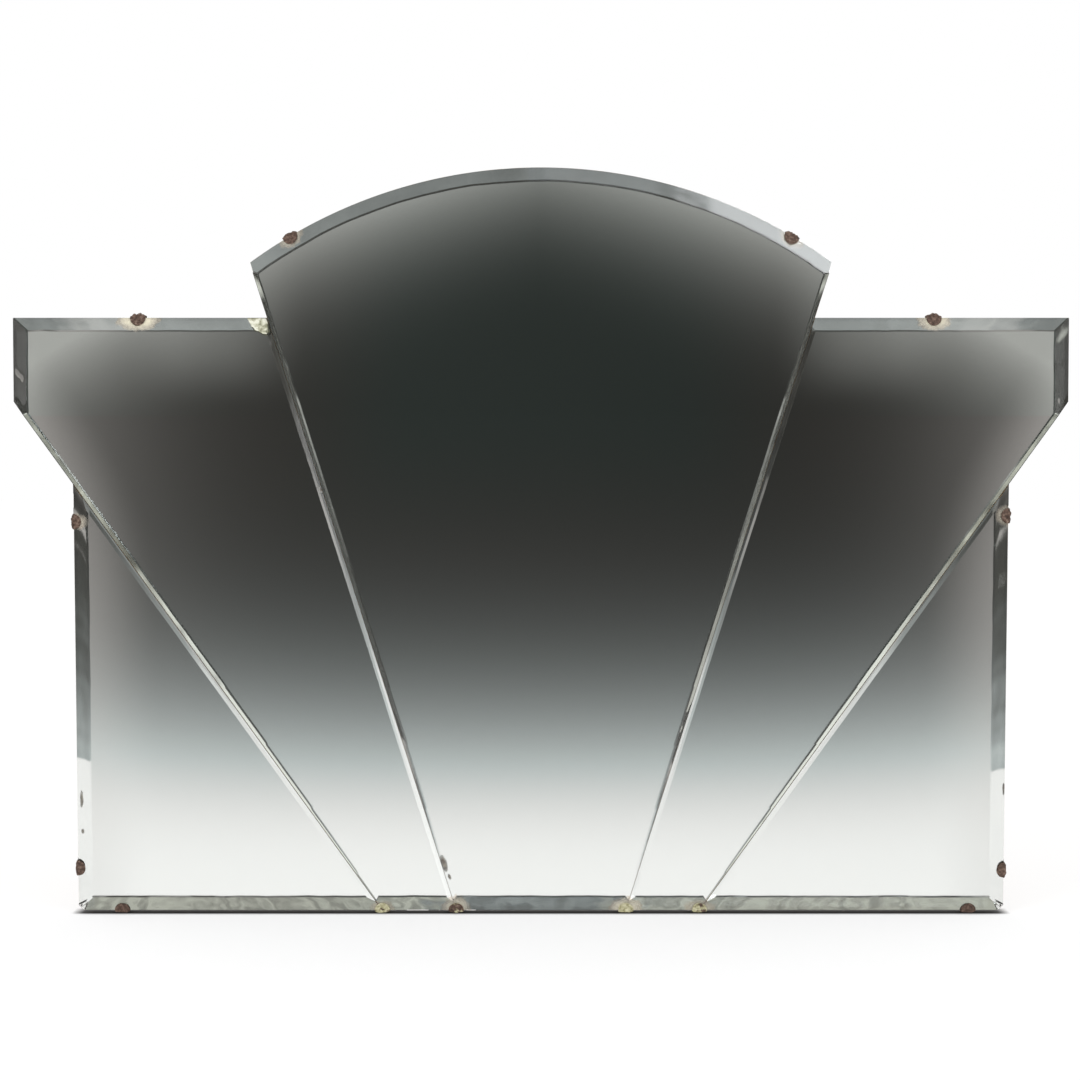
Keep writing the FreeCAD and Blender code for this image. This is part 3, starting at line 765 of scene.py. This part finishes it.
def make_clip(name, tree):
    """A clip with its skin rebuilt on an even grid, eaten by rust and rounded over the edge."""
    rough = put_in_scene(name + "_rough", nodes[name].data.copy())
    weld = rough.modifiers.new("weld", "WELD")
    weld.merge_threshold = SAME_VERTEX
    remesh = rough.modifiers.new("even_skin", "REMESH")
    remesh.mode = "VOXEL"
    remesh.voxel_size = CLIP_GRID
    rust = rough.modifiers.new("rust", "NODES")
    rust.node_group = tree
    sizes = {"Depth": RUST_DEPTH, "Pit spacing": PIT_SPACING}
    for item in tree.interface.items_tree:
        if item.in_out == "INPUT" and item.name in sizes:
            rust[item.identifier] = sizes[item.name]
    bpy.context.view_layer.update()
    evaluated = rough.evaluated_get(bpy.context.evaluated_depsgraph_get())
    mesh = bpy.data.meshes.new_from_object(evaluated)
    bpy.data.objects.remove(rough)
    dome(mesh, name)
    paint = mesh.attributes.new("paint", "FLOAT", "POINT")
    paint.data.foreach_set("value", [PAINT_LEFT.get(name, 0.0)] * len(mesh.vertices))
    piece = put_in_scene(name + "_rusted", mesh)
    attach(piece, "mirror")
    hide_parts(name)


# The room that the mirror looks into

# A long pale table lies in front of the mirror and darkens with distance. Beyond it the room is dark in
# the middle and glows to the sides and above. What stands farther out, such as a window, a shelf, lamps
# and a ceiling, is shown by the bevels alone. Angles are degrees from straight ahead, +X and up.

# The camera looks into the mirror from this height, and this far from the glass.
EYE_HEIGHT, EYE_DISTANCE = 0.4254, 2.4953
# The table ends where the glow of the room begins to depend on height as well.
GLOW_RISE = -1.44
TABLE_LENGTH = EYE_HEIGHT / math.tan(math.radians(-GLOW_RISE)) - EYE_DISTANCE
# The glow grows out of a rounded dark field: half its width and height in degrees, how round it is, how
# steeply the glow grows outside it, how strong it is at its border, and how strong at most.
FIELD_HALF_WIDTH, FIELD_HALF_HEIGHT, FIELD_ROUNDNESS = 7.6, 3.53, 1.218
GLOW_GROWTH, GLOW_AT_BORDER, GLOW_MOST = 4.69, 0.12, 0.42
# The light beside the table: the rise up to which its border is upright, how much it bends outwards with
# the square of the rise above that, and its strength. Then the strength of the ledge behind the table.
BESIDE_UPRIGHT_TO, BESIDE_BEND, BESIDE_LIGHT = -4.5, 0.11, 0.157
LEDGE_LIGHT = 0.075
# The dark middle of the room: its light straight ahead, by how much that changes with each degree of
# turn, and the least that it falls to.
DARK_AHEAD, DARK_CHANGE, DARK_LEAST = 0.0325, -0.00076, 0.02
# The arch at which the glow ends: it sinks with the square of the turn by this much, up to this turn.
ARCH_SINK, ARCH_WIDTH = 0.0685, 5.0
# The far border of the lamp at the right slants by this much.
LAMP_SLANT = 1.36


def room_light(tree, turn, rise):
    """The room's own light in a direction: the colour of its dark middle, the strength of the glow to its
    sides and above, and the turn without its sign."""
    wide = add(tree, "ShaderNodeMath", {0: turn}, operation="ABSOLUTE")
    lifted = add(tree, "ShaderNodeMath", {0: rise, 1: GLOW_RISE}, operation="SUBTRACT")
    lifted = add(tree, "ShaderNodeMath", {0: lifted, 1: 0.0}, operation="MAXIMUM")
    off = None
    for angle, half in ((wide, FIELD_HALF_WIDTH), (lifted, FIELD_HALF_HEIGHT)):
        share = add(tree, "ShaderNodeMath", {0: angle, 1: half}, operation="DIVIDE")
        share = add(tree, "ShaderNodeMath", {0: share, 1: FIELD_ROUNDNESS}, operation="POWER")
        off = add(tree, "ShaderNodeMath", {0: off, 1: share}, operation="ADD") if off else share
    glow = add(tree, "ShaderNodeMath", {0: off, 1: GLOW_GROWTH}, operation="POWER")
    glow = add(tree, "ShaderNodeMath", {0: glow, 1: GLOW_AT_BORDER}, operation="MULTIPLY")
    glow = add(tree, "ShaderNodeMath", {0: glow, 1: GLOW_MOST}, operation="MINIMUM")
    # The light beside the table comes nearer to its middle the lower it is.
    height = add(tree, "ShaderNodeMath", {0: rise, 1: -BESIDE_UPRIGHT_TO}, operation="ADD")
    height = add(tree, "ShaderNodeMath", {0: height, 1: 0.0}, operation="MAXIMUM")
    height = add(tree, "ShaderNodeMath", {0: height, 1: height}, operation="MULTIPLY")
    beside = add(tree, "ShaderNodeMath", {0: height, 1: -BESIDE_BEND, 2: wide}, operation="MULTIPLY_ADD")

    # Soft limits in degrees: what is limited, and where the change starts and ends.
    soft = {}
    for name, angle, start, end in [
        ("beside", beside, 6.3, 7.8), ("ledge", rise, -1.3, -0.2), ("ledge start", wide, 3.8, 5.2),
        ("ledge end", wide, 7.0, 5.8), ("before", wide, 9.1, 8.7), ("high", rise, -4.0, -1.4),
        ("middle", wide, 4.5, 2.0), ("past the wings", wide, 5.2, 4.9), ("over the wings", rise, 0.3, 0.0),
    ]:
        soft[name] = add(
            tree, "ShaderNodeMapRange", {"Value": angle, "From Min": start, "From Max": end},
            interpolation_type="SMOOTHSTEP",
        )
    ledge = add(tree, "ShaderNodeMath", {0: soft["ledge"], 1: soft["ledge start"]}, operation="MULTIPLY")
    ledge = add(tree, "ShaderNodeMath", {0: ledge, 1: soft["ledge end"]}, operation="MULTIPLY")
    for light, strength in ((soft["beside"], BESIDE_LIGHT), (ledge, LEDGE_LIGHT)):
        glow = add(tree, "ShaderNodeMath", {0: light, 1: strength, 2: glow}, operation="MULTIPLY_ADD")
    # Above the wings the room is dark to the sides.
    sides = {0: soft["past the wings"], 1: soft["over the wings"]}
    within = add(tree, "ShaderNodeMath", sides, operation="MAXIMUM")
    for limit in (within, soft["before"]):
        glow = add(tree, "ShaderNodeMath", {0: glow, 1: limit}, operation="MULTIPLY")
    dark = add(tree, "ShaderNodeMath", {0: turn, 1: DARK_CHANGE, 2: DARK_AHEAD}, operation="MULTIPLY_ADD")
    dark = add(tree, "ShaderNodeMath", {0: dark, 1: DARK_LEAST}, operation="MAXIMUM")
    cool = add(tree, "ShaderNodeMath", {0: soft["high"], 1: soft["middle"]}, operation="MULTIPLY")
    tints = {"Factor": cool, "A": colour("fff7ee"), "B": colour("f0fff6")}
    tint = add(tree, "ShaderNodeMix", tints, data_type="RGBA").outputs["Result"]
    tinted = add(tree, "ShaderNodeVectorMath", {0: tint, "Scale": dark}, operation="SCALE")
    return tinted, glow, wide


def mirrored_ray(tree):
    """One for what the mirror shows, nothing for the camera's own view and for light on matt surfaces.
    With it comes the node that tells the kinds of rays."""
    seen = add(tree, "ShaderNodeLightPath")
    kinds = {0: seen.outputs["Is Glossy Ray"], 1: seen.outputs["Is Transmission Ray"]}
    mirrored = add(tree, "ShaderNodeMath", kinds, operation="MAXIMUM")
    first = {0: mirrored, 1: seen.outputs["Diffuse Depth"]}
    return add(tree, "ShaderNodeMath", first, operation="SUBTRACT", use_clamp=True), seen


def room_world():
    """White for the camera and for matt surfaces, and the room by its directions for the mirror."""
    world = bpy.data.worlds.new("studio_and_room")
    bpy.context.scene.world = world
    world.use_nodes = True
    tree = world.node_tree
    tree.nodes.clear()
    ray = add(tree, "ShaderNodeSeparateXYZ", {0: add(tree, "ShaderNodeTexCoord").outputs["Generated"]})
    ahead = add(tree, "ShaderNodeMath", {0: ray.outputs["Y"], 1: -1.0}, operation="MULTIPLY")
    turn = add(tree, "ShaderNodeMath", {0: ray.outputs["X"], 1: ahead}, operation="ARCTAN2")
    turn = add(tree, "ShaderNodeMath", {0: turn, 1: 180 / math.pi}, operation="MULTIPLY")
    rise = add(tree, "ShaderNodeMath", {0: ray.outputs["Z"]}, operation="ARCSINE")
    rise = add(tree, "ShaderNodeMath", {0: rise, 1: 180 / math.pi}, operation="MULTIPLY")
    total, glow, wide = room_light(tree, turn, rise)
    # The glow ends at an arch, which no flat part of the mirror shows.
    arched = add(tree, "ShaderNodeMath", {0: wide, 1: ARCH_WIDTH}, operation="MINIMUM")
    arched = add(tree, "ShaderNodeMath", {0: arched, 1: arched}, operation="MULTIPLY")
    arched = add(tree, "ShaderNodeMath", {0: arched, 1: ARCH_SINK, 2: rise}, operation="MULTIPLY_ADD")
    slanted = add(tree, "ShaderNodeMath", {0: wide, 1: LAMP_SLANT, 2: rise}, operation="MULTIPLY_ADD")
    mottled = add(tree, "ShaderNodeCombineXYZ", {0: turn, 1: rise})
    mottled = add(tree, "ShaderNodeTexNoise", {"Vector": mottled, "Scale": 0.9, "Detail": 3.0})
    mottled = add(
        tree, "ShaderNodeMapRange", {"Value": mottled, "From Min": 0.38, "From Max": 0.6, "To Min": 0.5}
    )

    # Soft limits in degrees: what is limited, and where the change starts and ends.
    soft = {}
    for name, angle, start, end in [
        ("level", arched, 3.3, 2.75), ("above", rise, 7.0, 8.6), ("beside the middle", wide, 1.0, 2.1),
        ("wall", wide, 17.0, 22.0), ("far", wide, 25.0, 40.0), ("shelf start", wide, 6.6, 7.6),
        ("shelf end", wide, 13.0, 12.0), ("shelf foot", rise, 5.0, 6.5), ("shelf top", rise, 9.6, 8.4),
        ("window start", wide, 7.4, 9.4), ("window foot", rise, 0.6, 1.8), ("window top", rise, 8.2, 5.2),
        ("side walls", wide, 12.8, 13.6), ("below the walls", rise, 6.0, 4.0),
        ("left wall", turn, -12.8, -13.6), ("low", rise, 6.0, -1.5),
        ("ceiling", turn, -4.0, 1.0), ("up", rise, 38.6, 40.2),
        ("lamp start", turn, 18.0, 21.0), ("lamp end", slanted, 49.0, 45.5), ("lamp top", rise, 9.0, 8.0),
        ("high lamp left", turn, 13.4, 21.5), ("high lamp right", turn, 42.0, 38.0),
        ("high lamp foot", rise, 24.0, 28.0), ("high lamp top", rise, 43.0, 39.5),
    ]:
        soft[name] = add(
            tree, "ShaderNodeMapRange", {"Value": angle, "From Min": start, "From Max": end},
            interpolation_type="SMOOTHSTEP",
        )

    # What is added to the dark room: a colour, a strength, and what it is multiplied by.
    for code, strength, factors in [
        ("fffbf6", 1.0, [glow, soft["level"]]),
        ("f1f8f8", 0.21, [soft["above"], mottled]),
        ("fff6d8", 0.26, [soft["above"], soft["beside the middle"], mottled]),
        ("fff8e0", 0.16, [soft["shelf start"], soft["shelf end"], soft["shelf foot"], soft["shelf top"]]),
        ("fffdf4", 0.85, [soft["window start"], soft["shelf end"], soft["window foot"], soft["window top"]]),
        ("fffaf0", 0.04, [soft["side walls"], soft["below the walls"]]),
        ("fffaf0", 0.5, [soft["left wall"], soft["low"], soft["low"]]),
        ("f4faff", 1.3, [soft["ceiling"], soft["up"]]),
        ("fffbe8", 0.14, [soft["wall"]]),
        ("ffffff", 0.85, [soft["far"]]),
        ("ffffff", 2.4, [soft["lamp start"], soft["lamp end"], soft["lamp top"]]),
        ("fafcff", 8.0, [
            soft["high lamp left"], soft["high lamp right"], soft["high lamp foot"], soft["high lamp top"],
        ]),
    ]:
        product = factors[0]
        for factor in factors[1:] + [strength]:
            product = add(tree, "ShaderNodeMath", {0: product, 1: factor}, operation="MULTIPLY")
        part = add(tree, "ShaderNodeVectorMath", {0: colour(code)[:3], "Scale": product}, operation="SCALE")
        total = add(tree, "ShaderNodeVectorMath", {0: total, 1: part}, operation="ADD")
    # Straight behind the mirror stands a wall, which is seen only past the edges of the silver.
    hidden = add(
        tree, "ShaderNodeMapRange", {"Value": ray.outputs["Y"], "From Min": 0.95, "From Max": 0.88}
    )
    total = add(tree, "ShaderNodeVectorMath", {0: total, "Scale": hidden}, operation="SCALE")
    mirrored, seen = mirrored_ray(tree)
    white = add(tree, "ShaderNodeBackground", {"Color": (1, 1, 1, 1), "Strength": 1.0})
    room = add(tree, "ShaderNodeBackground", {"Color": total, "Strength": 1.0})
    mixed = add(tree, "ShaderNodeMixShader", {0: mirrored, 1: white, 2: room})
    add(tree, "ShaderNodeOutputWorld", {"Surface": mixed})


# Distances along the table are counted from this far in front of the wall.
TABLE_START = 14.5 * MM
# The light on the table: its strength at the glass, the distance in metres at which half of it is left,
# how much that grows with the square of the turn, up to what turn, and how steeply the light falls.
TABLE_LIGHT, TABLE_HALF, TABLE_HALF_GROWTH = 1.05, 0.884, 0.00235
TABLE_WIDEST, TABLE_FALL = 8.0, 2.777
# Up to this distance the glow stays before the mirror. Beyond, it widens by this many degrees a metre.
GLOW_NARROW_TO, GLOW_WIDENING = 2.0, 0.5
# The painted shade under the mirror, set by place on the paper: at its front, its back and its sides, the
# place at which the shade starts and the one from which it is full. Then how much light it takes away.
SHADE_FRONT, SHADE_BACK, SHADE_SIDE = (-22 * MM, -19 * MM), (4 * MM, 0.0), (342 * MM, 334 * MM)
SHADE_SHARE = 0.8
# How near a thing has to be to darken the paper, how much light the paper has of its own, and its grey.
CONTACT_REACH, PAPER_LIGHT, PAPER_GREY = 9 * MM, 0.58, 0.42


def table_in_mirror(tree, place):
    """The table as the mirror shows it. It darkens with its distance from the glass."""
    distance = add(
        tree, "ShaderNodeMath", {0: place.outputs["Y"], 1: -1.0, 2: -TABLE_START}, operation="MULTIPLY_ADD"
    )
    distance = add(tree, "ShaderNodeMath", {0: distance, 1: 0.0}, operation="MAXIMUM")
    reach = add(tree, "ShaderNodeMath", {0: distance, 1: EYE_DISTANCE}, operation="ADD")
    turn = add(tree, "ShaderNodeMath", {0: place.outputs["X"], 1: reach}, operation="ARCTAN2")
    turn = add(tree, "ShaderNodeMath", {0: turn, 1: 180 / math.pi}, operation="MULTIPLY")
    rise = add(tree, "ShaderNodeMath", {0: -EYE_HEIGHT, 1: reach}, operation="ARCTAN2")
    rise = add(tree, "ShaderNodeMath", {0: rise, 1: 180 / math.pi}, operation="MULTIPLY")
    dark, glow, wide = room_light(tree, turn, rise)
    # The light reaches farther along the sides of the table than along its middle.
    limited = add(tree, "ShaderNodeMath", {0: wide, 1: TABLE_WIDEST}, operation="MINIMUM")
    spread = add(tree, "ShaderNodeMath", {0: limited, 1: limited}, operation="MULTIPLY")
    spread = add(
        tree, "ShaderNodeMath", {0: spread, 1: TABLE_HALF_GROWTH, 2: TABLE_HALF}, operation="MULTIPLY_ADD"
    )
    share = add(tree, "ShaderNodeMath", {0: distance, 1: spread}, operation="DIVIDE")
    share = add(tree, "ShaderNodeMath", {0: share, 1: TABLE_FALL}, operation="POWER")
    share = add(tree, "ShaderNodeMath", {0: share, 1: 1.0}, operation="ADD")
    lit = add(tree, "ShaderNodeMath", {0: TABLE_LIGHT, 1: share}, operation="DIVIDE")

    # Soft limits: what is limited, where the change starts and ends, and what it changes by.
    soft = {}
    for name, value, start, end, last in [
        ("far", share, 1.1, 2.0, 1.0), ("edge", wide, 6.5, 8.5, -0.35), ("beside", wide, 16.0, 19.0, 0.26),
        ("left side", turn, -8.9, -10.5, -0.45), ("right side", turn, 8.9, 10.5, -0.7),
    ]:
        soft[name] = add(
            tree, "ShaderNodeMapRange", {"Value": value, "From Min": start, "From Max": end, "To Max": last},
            interpolation_type="SMOOTHSTEP",
        )
    for dimmer in ("edge", "left side", "right side"):
        lit = add(tree, "ShaderNodeMath", {0: lit, 1: soft[dimmer], 2: lit}, operation="MULTIPLY_ADD")
    # The glow doesn't add to what is white already, and near the glass it stays before the mirror.
    unlit = add(tree, "ShaderNodeMath", {0: lit, 1: 3.0}, operation="POWER")
    unlit = add(tree, "ShaderNodeMath", {0: 1.0, 1: unlit}, operation="SUBTRACT", use_clamp=True)
    glow = add(tree, "ShaderNodeMath", {0: glow, 1: unlit}, operation="MULTIPLY")
    border = add(tree, "ShaderNodeMath", {0: distance, 1: GLOW_NARROW_TO}, operation="SUBTRACT")
    border = add(tree, "ShaderNodeMath", {0: border, 1: 0.0}, operation="MAXIMUM")
    border = add(tree, "ShaderNodeMath", {0: border, 1: -GLOW_WIDENING, 2: wide}, operation="MULTIPLY_ADD")
    inside = add(tree, "ShaderNodeMapRange", {"Value": border, "From Min": 8.2, "From Max": 7.5})
    glow = add(tree, "ShaderNodeMath", {0: glow, 1: inside}, operation="MULTIPLY")
    tints = {"Factor": soft["far"], "A": colour("fffaf9"), "B": colour("fbffff")}
    tint = add(tree, "ShaderNodeMix", tints, data_type="RGBA").outputs["Result"]
    total = dark
    for shade, strength in (
        (colour("fff4f0")[:3], glow), (tint, lit), (colour("fff8e4")[:3], soft["beside"])
    ):
        part = add(tree, "ShaderNodeVectorMath", {0: shade, "Scale": strength}, operation="SCALE")
        total = add(tree, "ShaderNodeVectorMath", {0: total, 1: part}, operation="ADD")
    return add(tree, "ShaderNodeEmission", {"Color": total, "Strength": 1.0})


def table_material():
    """Seamless white paper: as white as the backdrop, grey in the object's shadow, painted shade under its
    edge.
    """
    material, tree, place = new_material("white_paper_table")
    place = add(tree, "ShaderNodeSeparateXYZ", {0: place})
    in_mirror = table_in_mirror(tree, place)
    # Painted shade under the mirror: the paper is darkened by place where the mirror stands on it.
    aside = add(tree, "ShaderNodeMath", {0: place.outputs["X"]}, operation="ABSOLUTE")
    painted_shade = None
    for value, (start, end) in (
        (aside, SHADE_SIDE), (place.outputs["Y"], SHADE_FRONT), (place.outputs["Y"], SHADE_BACK)
    ):
        within = add(tree, "ShaderNodeMapRange", {"Value": value, "From Min": start, "From Max": end})
        if painted_shade:
            within = add(tree, "ShaderNodeMath", {0: painted_shade, 1: within}, operation="MULTIPLY")
        painted_shade = within
    left_by_painted_shade = add(tree, "ShaderNodeMath", {0: painted_shade, 1: -SHADE_SHARE, 2: 1.0}, operation="MULTIPLY_ADD")
    under = add(tree, "ShaderNodeAmbientOcclusion", {"Distance": CONTACT_REACH})
    closeness = add(tree, "ShaderNodeMath", {0: under.outputs["AO"], 1: 2.0}, operation="POWER")
    for factor in (left_by_painted_shade, PAPER_LIGHT):
        closeness = add(tree, "ShaderNodeMath", {0: closeness, 1: factor}, operation="MULTIPLY")
    grey = add(tree, "ShaderNodeMath", {0: left_by_painted_shade, 1: PAPER_GREY}, operation="MULTIPLY")
    paper = add(tree, "ShaderNodeBsdfDiffuse", {"Color": grey})
    shine = add(tree, "ShaderNodeEmission", {"Color": (1, 1, 1, 1), "Strength": closeness})
    pale = add(tree, "ShaderNodeAddShader", {0: paper, 1: shine})
    white = add(tree, "ShaderNodeBsdfDiffuse", {"Color": (0.8, 0.8, 0.8, 1)})
    mirrored, seen = mirrored_ray(tree)
    plain = add(tree, "ShaderNodeMixShader", {0: seen.outputs["Is Camera Ray"], 1: white, 2: pale})
    mixed = add(tree, "ShaderNodeMixShader", {0: mirrored, 1: plain, 2: in_mirror})
    add(tree, "ShaderNodeOutputMaterial", {"Surface": mixed})
    return material


def make_table():
    """The table as one sheet that reaches behind the mirror too, as the floor of the scene."""
    half, front, behind = 9.0, -TABLE_LENGTH, 6.0
    mesh = bpy.data.meshes.new("paper_table")
    corners = [(-half, front, 0), (half, front, 0), (half, behind, 0), (-half, behind, 0)]
    mesh.from_pydata(corners, [], [(0, 1, 2, 3)])
    mesh.materials.append(table_material())
    table = put_in_scene("paper_table", mesh)


# Lamps and camera

LAMP_SIZE, LAMP_AIM = 1.5, Vector((0, 0, 0.25))
# The camera's place and how many degrees it is tipped down, and its lens in widths of the picture.
CAMERA_X, CAMERA_Y, CAMERA_TIP = -0.7 * MM, -2.5167, 3.5
LENS_IN_WIDTHS = 3456 / 1080
SENSOR_WIDTH = 36.0


def make_lamp(name, place, power):
    """A large soft lamp, which the glass doesn't mirror."""
    data = bpy.data.lights.new(name, "AREA")
    data.shape = "SQUARE"
    data.size = LAMP_SIZE
    data.energy = power
    lamp = put_in_scene(name, data)
    lamp.location = place
    lamp.rotation_euler = (LAMP_AIM - Vector(place)).to_track_quat("-Z", "Y").to_euler()
    lamp.visible_glossy = False
    lamp.visible_transmission = False


def make_camera():
    """A long lens 2.5 m away, a little above the mirror's middle and tipped 3.5 degrees down."""
    data = bpy.data.cameras.new("camera")
    data.sensor_width = SENSOR_WIDTH
    data.lens = LENS_IN_WIDTHS * SENSOR_WIDTH
    data.clip_start = 0.05
    camera = put_in_scene("camera", data)
    camera.location = (CAMERA_X, CAMERA_Y, EYE_HEIGHT)
    camera.rotation_euler = (math.radians(90 - CAMERA_TIP), 0, 0)
    bpy.context.scene.camera = camera


# The edge of the plate, ground with grit and not polished: frosted, pale green, lit from within.
ground_edge = grained(
    "ground_glass_edge", 0.8 * MM, 3.0, [(0.35, "bccbc2"), (0.65, "dce6df")],
    {"Transmission Weight": 0.75, "IOR": GLASS_IOR, "Roughness": 0.6},
)
glass = [plate_glass(), ground_edge]
for pane in PANES:
    make_pane(pane, glass)

# The undercut rim of the chip: broken glass in dark olive painted shade.
painted_shade_break = grained(
    "painted_shade_glass_break", 1.2 * MM, 3.0, [(0.4, "23241a"), (0.65, "5d5d45")], {"Roughness": 0.5}
)
make_chip("left_wing_pane", [bruised_glass(), painted_shade_break])

corrosion = corroding(rusted_steel())
for clip in CLIPS:
    make_clip(clip, corrosion)

finishes = {
    "silvering": silvered_film(),
    "plywood": birch_plywood(),
    # Steel wood screws gone dull: grey-brown, half matt.
    "screws": grained(
        "aged_steel_screws", 1.5 * MM, 4.0, [(0.35, "5b5148"), (0.6, "8d857a")],
        {"Metallic": 0.8, "Roughness": 0.5},
    ),
    # Brass strap and wire gone half dull: yellow metal with brown patches.
    "hangers": grained(
        "aged_brass", 4 * MM, 5.0, [(0.35, "6f5427"), (0.6, "a8853f")], {"Metallic": 1.0, "Roughness": 0.42}
    ),
    # Moulded black rubber, matt and a little dusty.
    "buffers": grained(
        "moulded_rubber", 3 * MM, 4.0, [(0.4, "1c1b1a"), (0.7, "2e2c2a")], {"Roughness": 0.8}
    ),
}
for part in frame["record"]["subparts"]:
    if part["material_slot"] in finishes:
        show_as(part["node"], finishes[part["material_slot"]])

make_table()
room_world()
make_lamp("soft_lamp_left", (-1.6, -2.2, 2.2), 18)
make_lamp("soft_lamp_right", (1.8, -1.8, 1.8), 10)
make_camera()
bpy.context.scene.view_settings.view_transform = "Standard"
